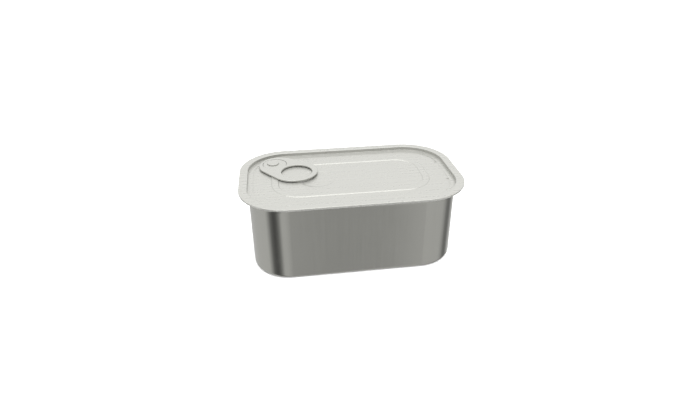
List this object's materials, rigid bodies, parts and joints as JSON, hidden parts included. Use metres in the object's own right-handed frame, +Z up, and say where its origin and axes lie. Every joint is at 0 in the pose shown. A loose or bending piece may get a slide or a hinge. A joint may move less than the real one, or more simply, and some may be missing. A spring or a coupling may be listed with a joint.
{
  "type": "ring-pull food tin",
  "caption": "Rounded-rectangle metal food tin with a crimped rim, a beaded panel that peels back and a riveted ring tab.",
  "frame": {"origin": "centre of the base, on the surface that the tin stands on", "axes": "+X along the tin away from the tab's rivet, +Y across it towards the rivet's side, +Z up out of the lid"},
  "size_m": [0.105, 0.064, 0.0388],
  "materials": {
    "body_tinplate": "satin drawn tinplate",
    "lid_tinplate": "satin rolled tinplate",
    "tab_tinplate": "satin rolled tinplate",
    "sealing_compound": "matt gasket compound"
  },
  "bodies": {
    "tin": {"can_body": "body_tinplate", "sealing_compound": "sealing_compound", "lid_seam_ring": "lid_tinplate"},
    "panel": {"tear_panel": "lid_tinplate", "rivet": "lid_tinplate", "rivet_tongue": "tab_tinplate"},
    "tab": {"pull_tab": "tab_tinplate"}
  },
  "joints": [
    {"name": "panel_peel", "type": "hinge", "parent": "tin", "child": "panel", "pos_m": [0.046, 0, 0.0371], "axis": [0, 1, 0], "range_deg": [0, 110]},
    {"name": "tab_lift", "type": "hinge", "parent": "panel", "child": "tab", "pos_m": [-0.04005, 0.02145, 0.03792], "axis": [-0.7071, -0.7071, 0], "range_deg": [0, 120]}
  ]
}
